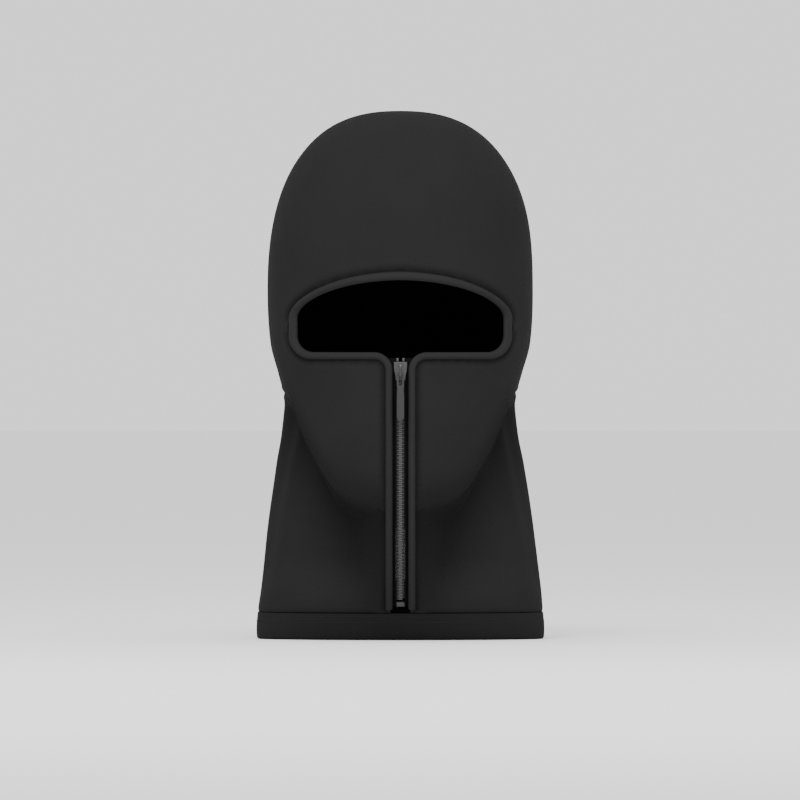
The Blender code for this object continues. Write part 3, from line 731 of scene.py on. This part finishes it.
def add_painted_shade(thing):
    """Marks how much painted shade each point gets: painted shadow in the grooves by the bound edge and
    along the jaw seam, painted shade below the jaw, and a painted darkening just above the jaw at the
    front.
    """
    count = len(thing.data.vertices)
    flat = np.zeros(count * 3, np.float32)
    thing.data.vertices.foreach_get("co", flat)
    points = flat.reshape(-1, 3).astype(float) / MM
    x, y, z = points[:, 0], points[:, 1] - SHIFT, points[:, 2]
    angle = np.arctan2(x, -y)
    away = np.full(count, FAR)
    for i in np.flatnonzero((y < 0) & (z < NEAR_EDGE_TOP)):
        away[i] = EDGE.find(points[i])[2]
    seam = z - jaw(angle)
    # Painted shade: edge darkens the groove by the bound edge, line the jaw seam, under the neck below the
    # jaw (most at the front), and over the front just above the jaw.
    edge = 0.75 * np.exp(-((away / 2.6) ** 2))
    line = 0.5 * np.exp(-(((seam + 1.0) / 1.2) ** 2))
    ahead = 1 - smooth(70, 115, np.abs(np.degrees(angle)))
    under = np.where(seam < 0, (0.15 + 0.55 * ahead) * np.exp(-((seam / 60) ** 2)), 0.0)
    over = np.where((seam >= 0) & (y < 0), 0.42 * np.exp(-(((seam - 2) / 16) ** 2)), 0.0)
    over *= 1 - smooth(55, 80, np.abs(np.degrees(angle)))
    painted_shade = np.maximum.reduce([edge, line, under, over])
    layer = thing.data.attributes.new("painted_shade", "FLOAT", "POINT")
    layer.data.foreach_set("value", painted_shade.astype(np.float32))


def dress(thing, made, slot, body, *nodes, smooth_angle=40):
    """Gives a finished piece its material, its body and the nodes that it stands for."""
    # The shell cloth gets painted shade in its colour.
    if made is SHELL_CLOTH:
        add_painted_shade(thing)
    thing.data.materials.clear()
    thing.data.materials.append(made)
    by_angle(thing, smooth_angle)
    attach(thing, body)
    if nodes:
        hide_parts(*nodes)
    return thing


EASE = 0.94  # a cut's size, each way and in all, beside its size when it is worn


def stretched(wide, long):
    """Works out a cut of cloth's size before it is pulled on over the head: its area is that of one side;
    the result is not kept.
    """
    wide, long = wide * EASE, long * EASE


# ---------------------------------------------------------------- the cloth

COARSE = 1


def spread_angles(start, end, step):
    count = max(4, int(abs(end - start) / (step * COARSE)))
    return np.radians(np.linspace(start, end, count + 1))


def make_hood():
    """The face, the two sides of the back, and their linings."""
    angles = spread_angles(-SIDE, SIDE, FRONT_STEP)
    piece = panel("face_cloth", angles, face_rows(angles, FACE_ROWS // COARSE), SHELL)
    cut_opening(piece)
    dress(piece, SHELL_CLOTH, "shell_cloth", "hood", "face_panel")
    stretched(0.32, 0.36)
    for side, word in ((1, "left"), (-1, "right")):
        angles = side * spread_angles(SIDE, 180, BACK_STEP)
        heights = face_rows(angles, BACK_ROWS // COARSE)
        piece = panel(word + "_back_cloth", angles, heights, SHELL)
        dress(piece, SHELL_CLOTH, "shell_cloth", "hood", word + "_back_panel")
        stretched(0.17, 0.30)
        angles = side * spread_angles(-LINING_LAP, 180 + LINING_LAP, LINING_STEP)
        heights = face_rows(angles, LINING_ROWS // COARSE)
        piece = panel(word + "_hood_lining_cloth", angles, heights, LINING, shell=False)
        cut_opening(piece)
        dress(piece, LINING_CLOTH, "lining_cloth", "hood", word + "_hood_lining")
        stretched(0.30, 0.36)


def make_neck():
    """The two front halves of the neck, its back, and its lining."""
    for side, word in ((1, "left"), (-1, "right")):
        angles = side * spread_angles(SLOT_ANGLE, SIDE, FRONT_STEP)
        heights = neck_rows(angles, NECK_ROWS // COARSE)
        piece = panel(word + "_neck_cloth", angles, heights, SHELL, slot=(0,))
        dress(piece, SHELL_CLOTH, "shell_cloth", "hood", word + "_neck_panel")
        stretched(0.15, 0.16)
    angles = spread_angles(SIDE, 360 - SIDE, BACK_STEP)
    heights = neck_rows(angles, BACK_NECK_ROWS // COARSE)
    piece = panel("back_neck_cloth", angles, heights, SHELL)
    dress(piece, SHELL_CLOTH, "shell_cloth", "hood", "back_neck_panel")
    stretched(0.27, 0.15)
    angles = spread_angles(SLOT_ANGLE, 360 - SLOT_ANGLE, LINING_STEP)
    heights = neck_rows(angles, NECK_LINING_ROWS // COARSE)
    ends = (0, len(angles) - 1)
    angles[-1] -= 2 * math.pi
    piece = panel("neck_lining_cloth", angles, heights, LINING, shell=False, slot=ends)
    dress(piece, LINING_CLOTH, "lining_cloth", "hood", "neck_lining")
    stretched(0.55, 0.16)


def make_hem():
    """The folded band: a rounded fold below, a stitched edge above."""
    angles = np.radians(np.arange(0, 360, 1.5 * COARSE))
    section = []
    for k in range(9):
        turn = math.pi * k / 8
        section.append((1.7 - HEM_FOLD[0] * math.cos(turn), HEM_FOLD[1] * (1 - math.sin(turn))))
    ring = [(HEM_OUTSIDE, z) for z in np.linspace(HEM_TOP, HEM_LOW, 10)] + section
    ring += [(HEM_INSIDE, z) for z in np.linspace(HEM_LOW, HEM_TOP, 10)]
    points = []
    for inset, z in ring:
        level = surface(angles, np.full(angles.shape, z))
        out = outward(angles, np.full(angles.shape, z))
        out[:, 2] = 0
        out /= np.linalg.norm(out, axis=-1, keepdims=True)
        swell = HEM_SWELL * math.sin(math.pi * min(1.0, max(0.0, (z - 2) / 14)))
        away = inset - swell if inset < 1 else inset
        points.append(level - out * away)
    grid = np.array(points)
    tall, wide = grid.shape[:2]
    faces = []
    for r in range(tall):
        n = (r + 1) % tall
        for c in range(wide):
            m = (c + 1) % wide
            faces.append([r * wide + c, r * wide + m, n * wide + m, n * wide + c])
    round_it = np.broadcast_to(angles[None, :] * 9.0, (tall, wide))
    up = np.broadcast_to(np.arange(tall)[:, None] * 0.16, (tall, wide))
    uv = np.stack([round_it, up], -1).reshape(-1, 2)
    piece = make_mesh("hem_cloth", grid.reshape(-1, 3), faces, uv)
    dress(piece, SHELL_CLOTH, "shell_cloth", "hood", "hem_band", smooth_angle=60)
    stretched(0.56, 0.0207)


def make_binding():
    """One rolled strip: up one side of the zip, round the opening and down the other side."""
    inner, steps, width = edge_paths(2, ZIP_END)
    turns = np.linspace(0, 1, 13)
    section = [(t, BINDING_EDGE - BINDING_RISE * math.sin(math.pi * t) ** BINDING_ROUND) for t in turns]
    section += [(0.98, 2.2), (0.86, 3.1), (0.5, 3.3), (0.14, 3.1), (0.02, 2.2)]
    count = len(inner)
    along = np.linalg.norm(np.diff(inner, axis=0), axis=1)
    run = np.concatenate([[0], np.cumsum(along)])
    rings = []
    for share, inset in section:
        place = inner + steps * (width * share)[:, None]
        ripple = 0.05 * np.sin(run / 1.9) + 0.05 * np.sin(run / 5.3 + 1)
        rings.append(front(place[:, 0], place[:, 1], inset + ripple * (inset < 1.5)))
    grid = np.array(rings)
    wide = len(section)
    faces = []
    for k in range(wide):
        n = (k + 1) % wide
        for c in range(count - 1):
            faces.append([k * count + c, k * count + c + 1, n * count + c + 1, n * count + c])
    faces.append([k * count for k in range(wide)])
    faces.append([k * count + count - 1 for k in range(wide)][::-1])
    u = np.broadcast_to(np.arange(wide)[:, None] * 0.06, (wide, count))
    v = np.broadcast_to(run[None, :] / 10, (wide, count))
    uv = np.stack([u, v], -1).reshape(-1, 2)
    piece = make_mesh("binding", grid.reshape(-1, 3), faces, uv)
    dress(piece, BINDING_CLOTH, "binding", "hood", "face_binding", smooth_angle=70)
    stretched(0.0108, 0.76)


# ---------------------------------------------------------------- the zip


def zip_frame(along):
    """From a piece's own axes (across, down the zip, outwards) to its place on the zip."""
    bend = math.asin((ZIP_TOP - ZIP_MIDDLE) / ZIP_RADIUS) - along / ZIP_RADIUS
    out = Vector((0, -math.cos(bend), math.sin(bend)))
    down = Vector((0, -math.sin(bend), -math.cos(bend)))
    across = Vector((1, 0, 0))
    centre = Vector((0, ZIP_RADIUS - ZIP_FRONT + SHIFT, ZIP_MIDDLE))
    place = (centre + out * ZIP_RADIUS) * MM
    turned = Matrix((across, down, out)).transposed().to_4x4()
    return Matrix.Translation(place) @ turned


ZIP_LONG = ZIP_RADIUS * (
    math.asin((ZIP_TOP - ZIP_MIDDLE) / ZIP_RADIUS) - math.asin((ZIP_END - ZIP_MIDDLE) / ZIP_RADIUS)
)


def start_block(name, low, high):
    """A block between two corners, in a piece's own axes and in millimetres."""
    bpy.ops.object.select_all(action="DESELECT")
    centre = [(a + b) / 2 * MM for a, b in zip(low, high)]
    bpy.ops.mesh.primitive_cube_add(size=1, location=centre)
    thing = bpy.context.object
    thing.name = name
    thing.data.name = name
    bpy.ops.object.mode_set(mode="EDIT")
    bpy.ops.mesh.select_all(action="SELECT")
    size = [(b - a) * MM for a, b in zip(low, high)]
    bpy.ops.transform.resize(value=size, center_override=centre)
    bpy.ops.object.mode_set(mode="OBJECT")
    bpy.ops.object.transform_apply(location=True, rotation=True, scale=True)
    return thing


def shape(thing, move):
    """Moves each point of a piece, in its own axes and in millimetres."""
    for vertex in thing.data.vertices:
        vertex.co = Vector(move(*(vertex.co / MM))) * MM


def cut_up(thing, cuts):
    bpy.context.view_layer.objects.active = thing
    thing.select_set(True)
    bpy.ops.object.mode_set(mode="EDIT")
    bpy.ops.mesh.select_all(action="SELECT")
    bpy.ops.mesh.subdivide(number_cuts=cuts)
    bpy.ops.object.mode_set(mode="OBJECT")


def round_edges(thing, width, segments):
    bpy.context.view_layer.objects.active = thing
    bevel = thing.modifiers.new("round", "BEVEL")
    bevel.width = width * MM
    bevel.segments = segments
    bevel.limit_method = "ANGLE"
    bevel.angle_limit = math.radians(40)
    bpy.ops.object.modifier_apply(modifier=bevel.name)


def combine(thing, tool, operation):
    bpy.ops.object.select_all(action="DESELECT")
    bpy.context.view_layer.objects.active = thing
    thing.select_set(True)
    cut = thing.modifiers.new("combine", "BOOLEAN")
    cut.operation = operation
    cut.object = tool
    cut.solver = "EXACT"
    bpy.ops.object.modifier_apply(modifier=cut.name)
    bpy.data.objects.remove(tool)


def join(name, things):
    bpy.ops.object.select_all(action="DESELECT")
    for thing in things:
        thing.select_set(True)
    bpy.context.view_layer.objects.active = things[0]
    bpy.ops.object.join()
    things[0].name = name
    things[0].data.name = name
    return things[0]


def copies(name, template, frames):
    """One piece made of a template at each frame."""
    made = []
    for i, place in enumerate(frames):
        copy = bpy.data.objects.new(f"{name}_{i}", template.data.copy())
        bpy.context.scene.collection.objects.link(copy)
        copy.data.transform(place)
        made.append(copy)
    bpy.data.objects.remove(template)
    return join(name, made)


def dome_height(x):
    """The coil's rounded face across the chain."""
    return DOME_RISE * math.sqrt(max(0.0, 1 - (x / (TOOTH_HALF + 0.15)) ** 2))


def make_tooth(side):
    low = sorted((-side * TOOTH_OVERLAP, side * TOOTH_HALF))
    tooth = start_block("tooth", (low[0], 0, -TEETH[1]), (low[1], TOOTH_LONG, -TEETH[0] - DOME_RISE))
    cut_up(tooth, 3)
    middle = TOOTH_LONG / 2
    floor = -TEETH[1]
    face = -TEETH[0] - DOME_RISE

    def move(x, y, z):
        share = (z - floor) / (face - floor)
        lift = share * dome_height(x) * (1 - 0.35 * abs((y - middle) / middle) ** 2)
        thin = 1 - 0.12 * share
        return x, middle + (y - middle) * thin, z + lift

    shape(tooth, move)
    return tooth


def make_cord(side, word, starts):
    """The cord inside a coil's outer bends, a little below its face."""
    section = []
    for k in range(10):
        turn = 2 * math.pi * k / 10
        across = side * (CORD_MIDDLE[0] + CORD_RADIUS * math.cos(turn))
        section.append((across, CORD_MIDDLE[1] + CORD_RADIUS * math.sin(turn)))
    steps = np.arange(starts[0], starts[-1] + CORD_STEP, CORD_STEP * COARSE)
    points = [[zip_frame(a) @ Vector((x * MM, 0, z * MM)) / MM for x, z in section] for a in steps]
    grid = np.array(points)
    tall, wide = grid.shape[:2]
    faces = []
    for r in range(tall - 1):
        for c in range(wide):
            n = (c + 1) % wide
            faces.append([r * wide + c, r * wide + n, (r + 1) * wide + n, (r + 1) * wide + c])
    faces.append(list(range(wide)))
    faces.append([(tall - 1) * wide + c for c in reversed(range(wide))])
    return make_mesh(word + "_cord", grid.reshape(-1, 3), faces)


def make_teeth():
    last = ZIP_LONG - FOOT_LONG - 0.3
    count = int((last - SLIDER_MIDDLE) / TOOTH_PITCH)
    for side, word in ((1, "left"), (-1, "right")):
        half_step = 0.5 if side < 0 else 0.0
        starts = [SLIDER_MIDDLE + TOOTH_PITCH * (k + half_step) for k in range(count)]
        frames = [zip_frame(s) for s in starts]
        teeth = copies(word + "_coil", make_tooth(side), frames)
        teeth = join(word + "_coil", [teeth, make_cord(side, word, starts)])
        dress(teeth, COIL, "zip_teeth", "hood", word + "_zip_teeth", smooth_angle=50)
        low = sorted((side * 1.1, side * TOOTH_HALF))
        stop = start_block(word + "_stop", (low[0], 0, -TEETH[1]), (low[1], STOP_LONG, -TEETH[0]))
        round_edges(stop, 0.35, 3)
        stop.data.transform(zip_frame(0))
        dress(stop, ENAMEL, "zip_metal", "hood", word + "_top_stop")
    foot = start_block("foot_stop", (-TOOTH_HALF, 0, -TEETH[1]), (TOOTH_HALF, FOOT_LONG, -TEETH[0]))
    round_edges(foot, 0.5, 3)
    foot.data.transform(zip_frame(ZIP_LONG - FOOT_LONG))
    dress(foot, ENAMEL, "zip_metal", "hood", "bottom_stop")


def make_tapes():
    """Woven tapes, each with the corded edge that the coil is sewn to."""
    rows = 120 // COARSE
    z = np.linspace(ZIP_TOP, ZIP_END, rows)
    across = np.array(TAPE_ACROSS)
    for side, word in ((1, "left"), (-1, "right")):
        grids = []
        for sign, base in ((-1, TAPE[0]), (0.3, TAPE[1])):
            columns = []
            for x, rise in zip(across, TAPE_CORD):
                place = np.full(rows, side * (TAPE_START + x))
                columns.append(front(place, z, np.full(rows, base + sign * rise)))
            grids.append(np.stack(columns, 1))
        v = np.broadcast_to((ZIP_TOP - z)[:, None] / 10, (rows, len(across)))
        u = np.broadcast_to(across[None, :] / 10, (rows, len(across)))
        piece = sheet_mesh(word + "_tape", grids[0], grids[1], np.stack([u, v], -1))
        dress(piece, TAPE_CLOTH, "zip_tape", "hood", word + "_zip_tape")
        stretched(0.0108, 0.18)


def make_slider():
    """The slider: a tapered shield over a back plate, with flanges and the wedge between them."""
    face = SHIELD_FACE
    long = SLIDER_LONG
    low, high = (-SHIELD_HALF, -long / 2, face - SHIELD_THICK), (SHIELD_HALF, long / 2, face)
    front_plate = start_block("slider", low, high)
    cut_up(front_plate, 5)

    def shield(x, y, z):
        down = (y + long / 2) / long
        half = 1.0 - 0.28 * smooth(0.25, 0.95, down)
        crown = 0.5 * (1 - (x / SHIELD_HALF) ** 2) if z > face - 0.5 else 0
        return x * float(half), y, z + crown * (1 - 0.6 * down)

    shape(front_plate, shield)
    round_edges(front_plate, 0.45, 3)
    low, high = (-BACK_HALF, -long / 2, BACK_PLATE[0]), (BACK_HALF, long / 2, BACK_PLATE[1])
    back = start_block("under", low, high)
    cut_up(back, 5)
    shape(back, lambda x, y, z: (x * float(1 - 0.22 * smooth(0.3, 0.95, (y + long / 2) / long)), y, z))
    round_edges(back, 0.4, 2)
    wedge = start_block("wedge", (-1.1, -long / 2 + 0.4, -6.2), (1.1, -long / 2 + 4, -2.0))
    combine(front_plate, wedge, "UNION")
    combine(front_plate, back, "UNION")
    for side in (-1, 1):
        low = sorted((side * (BACK_HALF - 0.75), side * BACK_HALF))
        for bottom, top in ((-3.5, -2.2), (-6.2, -4.7)):
            flange = start_block("flange", (low[0], -long / 2 + 0.6, bottom), (low[1], 0.5, top))
            combine(front_plate, flange, "UNION")
    front_plate.data.transform(zip_frame(SLIDER_MIDDLE))
    front_plate.name = "slider_shield"
    dress(front_plate, ENAMEL, "zip_metal", "slider", "slider_body", smooth_angle=35)


def make_crown():
    """The arch that holds the pull: a bar bent down to the slider at both ends."""
    foot = ARCH_FOOT
    start = ARCH_START
    end = start + ARCH_LONG
    arch = start_block("arch", (-ARCH_HALF, start, foot), (ARCH_HALF, end, foot + ARCH_TALL))
    cut_up(arch, 7)
    half = (end - start) / 2
    middle = start + half

    def bow(x, y, z):
        share = (z - foot) / ARCH_TALL
        drop = 0.9 * share * abs((y - middle) / half) ** 3.0
        narrow = 1 - 0.16 * share
        return x * narrow, y, z - drop

    shape(arch, bow)
    round_edges(arch, 0.25, 2)
    window = start_block("hole", (-2, start + 1.25, foot - 1), (2, end - 1.25, foot + 3.2))
    round_edges(window, 0.5, 3)
    combine(arch, window, "DIFFERENCE")
    arch.data.transform(zip_frame(SLIDER_MIDDLE))
    arch.name = "slider_arch"
    dress(arch, CROWN_METAL, "zip_metal", "slider", "slider_crown", smooth_angle=35)


def make_pull():
    """A slim pull: an eye over the arch, a waist, and a long flat tab with a raised middle."""
    low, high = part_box("pull_tab")
    axis = joints["pull_swing"]["pos_m"]
    long = (axis[2] - low[2]) / MM
    thick = PULL_THICK / 2
    tab = start_block("pull", (-PULL_HALF, -0.6, -thick), (PULL_HALF, long, thick))
    cut_up(tab, 11)

    def outline_of(x, y, z):
        """Rounds the far end, gives the waist below the eye and swells the tab's middle."""
        share = x / PULL_HALF
        tip = max(0.0, (y - (long - 3)) / 3)
        half = PULL_HALF * math.sqrt(max(0.0, 1 - 0.75 * tip**2))
        waist = 0.45 * math.exp(-(((y - PULL_WAIST) / 2.2) ** 2))
        belly = 0.22 * (1 - share**2) * float(smooth(11, 14, y)) if abs(z) > 0.3 else 0
        return share * (half - waist), y, z + math.copysign(belly, z)

    shape(tab, outline_of)
    round_edges(tab, 0.32, 3)
    window = start_block("hole", (-1.1, PULL_WINDOW[0], -3), (1.1, PULL_WINDOW[1], 3))
    round_edges(window, 0.45, 3)
    combine(tab, window, "DIFFERENCE")
    turned = zip_frame(SLIDER_MIDDLE).to_3x3().to_4x4()
    tab.data.transform(Matrix.Translation(axis) @ turned)
    tab.name = "pull"
    dress(tab, PULL_ENAMEL, "zip_metal", "pull", "pull_tab", smooth_angle=35)


# ---------------------------------------------------------------- trim


def make_stitches():
    """The two rows of stitches that hold the hem band."""
    bpy.ops.object.select_all(action="DESELECT")
    bpy.ops.mesh.primitive_cylinder_add(vertices=6, radius=STITCH[0] * MM, depth=STITCH[1] * MM)
    stitch = bpy.context.object
    round_edges(stitch, 0.1, 1)
    stitch.data.transform(Matrix.Rotation(math.radians(90), 4, "Y"))
    frames = []
    count = HEM_STITCHES // COARSE
    for z in STITCH_ROWS:
        for k in range(count):
            angle = np.array([2 * math.pi * k / count])
            level = np.array([z])
            swell = 0.3 + HEM_SWELL * math.sin(math.pi * (z - 2) / 14)
            out = outward(angle, level)
            out[:, 2] = 0
            out /= np.linalg.norm(out, axis=-1, keepdims=True)
            place = (surface(angle, level) + out * (swell + 0.05))[0] * MM
            normal = Vector(out[0])
            along = Vector((0, 0, 1)).cross(normal).normalized()
            turned = Matrix((along, normal, Vector((0, 0, 1)))).transposed().to_4x4()
            frames.append(Matrix.Translation(place) @ turned)
    piece = copies("hem_stitches", stitch, frames)
    dress(piece, THREAD, "shell_cloth", "hood", smooth_angle=50)


def make_label():
    """A blank folded label, sewn inside the nape."""
    rows, columns = 15, 13
    z = np.linspace(LABEL_LOW, LABEL_HIGH, rows)
    grids = []
    for inset in LABEL_FACES:
        row_points = []
        for height in z:
            wide = LABEL_HALF / float(reach(np.array(math.pi), np.array(height)))
            angles = math.pi + np.linspace(-wide, wide, columns)
            curl = 0.5 * smooth(52, LABEL_LOW, height) * np.linspace(-1, 1, columns) ** 2
            row_points.append(skin(angles, np.full(columns, height), inset + curl + 0.2))
        grids.append(np.array(row_points))
    u, v = np.meshgrid(np.linspace(0, 2.6, columns), np.linspace(0, 3.4, rows))
    piece = sheet_mesh("blank_label", grids[0], grids[1], np.stack([u, v], -1))
    dress(piece, LABEL_CLOTH, "label", "hood", "care_label")
    stretched(0.027, 0.035)


# ---------------------------------------------------------------- the room


def make_room():
    """A wide pale floor."""
    rim = [(FLOOR * math.cos(t), FLOOR * math.sin(t), 0) for t in np.radians(np.arange(0, 360, 5))]
    floor = make_mesh("floor", np.array(rim) / MM, [list(range(len(rim)))])
    paint = bpy.data.materials.new("pale_paper")
    paint.use_nodes = True
    shader = paint.node_tree.nodes["Principled BSDF"]
    shader.inputs["Base Color"].default_value = (0.93, 0.93, 0.93, 1)
    shader.inputs["Roughness"].default_value = 0.9
    shader.inputs["Specular IOR Level"].default_value = 0.1
    floor.data.materials.append(paint)


def area_light(name, place, size, power):
    data = bpy.data.lights.new(name, "AREA")
    data.shape = "RECTANGLE"
    data.size, data.size_y = size
    data.energy = power
    lamp = bpy.data.objects.new(name, data)
    bpy.context.scene.collection.objects.link(lamp)
    lamp.location = place
    lamp.rotation_euler = (Vector(LIT_POINT) - Vector(place)).to_track_quat("-Z", "Y").to_euler()


def make_light_and_camera():
    world = bpy.data.worlds.new("studio")
    world.use_nodes = True
    world.node_tree.nodes["Background"].inputs[0].default_value = (1, 1, 1, 1)
    world.node_tree.nodes["Background"].inputs[1].default_value = WORLD_LIGHT
    bpy.context.scene.world = world
    area_light("key", *KEY_LIGHT)
    area_light("fill", *FILL_LIGHT)
    data = bpy.data.cameras.new("camera")
    data.lens = LENS
    data.sensor_width = SENSOR
    camera = bpy.data.objects.new("camera", data)
    bpy.context.scene.collection.objects.link(camera)
    away = VIEW_WIDTH * LENS / SENSOR
    camera.location = (VIEW_SIDE, VIEW_FRONT - away, VIEW_HEIGHT)
    camera.rotation_euler = (math.radians(90), 0, 0)
    bpy.context.scene.camera = camera


make_light_and_camera()
make_room()
make_hood()
make_neck()
make_hem()
make_binding()
make_tapes()
make_teeth()
make_slider()
make_crown()
make_pull()
make_stitches()
make_label()
